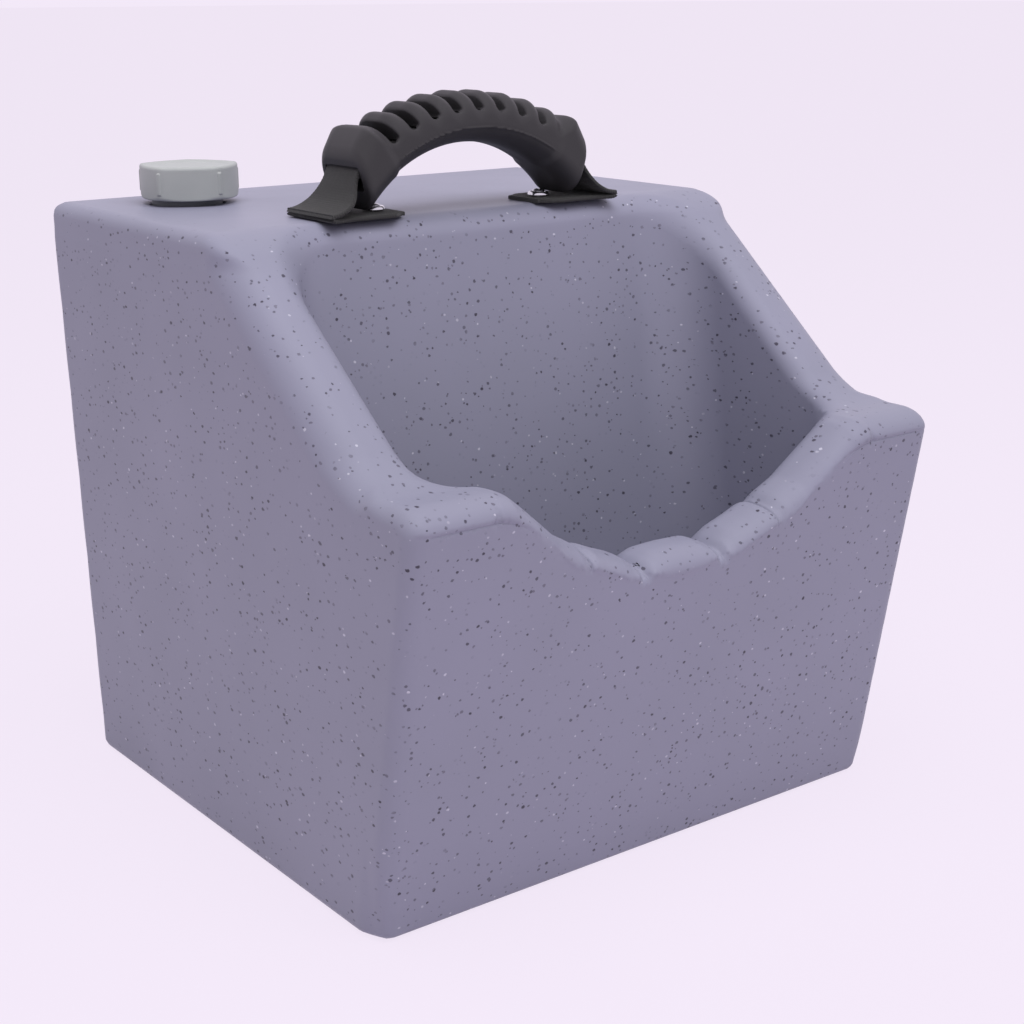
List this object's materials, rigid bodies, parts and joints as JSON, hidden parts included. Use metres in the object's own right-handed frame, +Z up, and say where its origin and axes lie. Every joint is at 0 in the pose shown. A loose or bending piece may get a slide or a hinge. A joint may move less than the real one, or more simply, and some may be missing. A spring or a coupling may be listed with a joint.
{
  "type": "portable dog water tank",
  "caption": "Portable pet water tank: hollow moulded body with a scooped drinking basin in its sloping front, screw filler cap and webbing carry handle.",
  "frame": {"origin": "on the floor under the middle of the tank's outline", "axes": "+Z up, -Y towards the drinking basin, +X to the right as seen from the basin side's back"},
  "size_m": [0.342, 0.3668, 0.393],
  "materials": {
    "tank_plastic": "satin rotomoulded polyethylene with dark and pale flecks",
    "neck_plastic": "satin",
    "gasket_rubber": "matte",
    "cap_plastic": "satin",
    "webbing": "woven",
    "insert_brass": "turned",
    "washer_steel": "polished",
    "screw_steel": "polished",
    "grip_rubber": "satin moulded"
  },
  "bodies": {
    "tank": {"tank_shell": "tank_plastic", "filler_neck": "neck_plastic", "strap_foot_left": "webbing", "strap_foot_right": "webbing", "insert_left": "insert_brass", "insert_right": "insert_brass", "finish_washer_left": "washer_steel", "finish_washer_right": "washer_steel", "handle_screw_left": "screw_steel", "handle_screw_right": "screw_steel"},
    "gasket": {"cap_gasket": "gasket_rubber"},
    "cap": {"filler_cap": "cap_plastic"},
    "strap_legs": {"strap_leg_left": "webbing", "strap_leg_right": "webbing"},
    "handle": {"grip": "grip_rubber", "strap_core": "webbing"}
  },
  "joints": [
    {"name": "cap_lift", "type": "slide", "parent": "tank", "child": "gasket", "axis": [0, 0, 1], "range_m": [0, 0.015]},
    {"name": "cap_turn", "type": "hinge", "parent": "gasket", "child": "cap", "pos_m": [-0.11, 0.13, 0.345], "axis": [0, 0, 1], "range_deg": [0, 1080]},
    {"name": "handle_rise", "type": "slide", "parent": "tank", "child": "strap_legs", "axis": [0, 0, 1], "range_m": [0, 0.014], "deforming": ["strap_leg_left", "strap_leg_right"]},
    {"name": "handle_rock", "type": "hinge", "parent": "strap_legs", "child": "handle", "pos_m": [-0.005, 0.011, 0.34], "axis": [1, 0, 0], "range_deg": [-8, 8], "stiffness_Nm_per_rad": 2}
  ],
  "couplings": [
    {"joint": "cap_turn", "follows": "cap_lift", "rad_per_m": 1256.6}
  ]
}
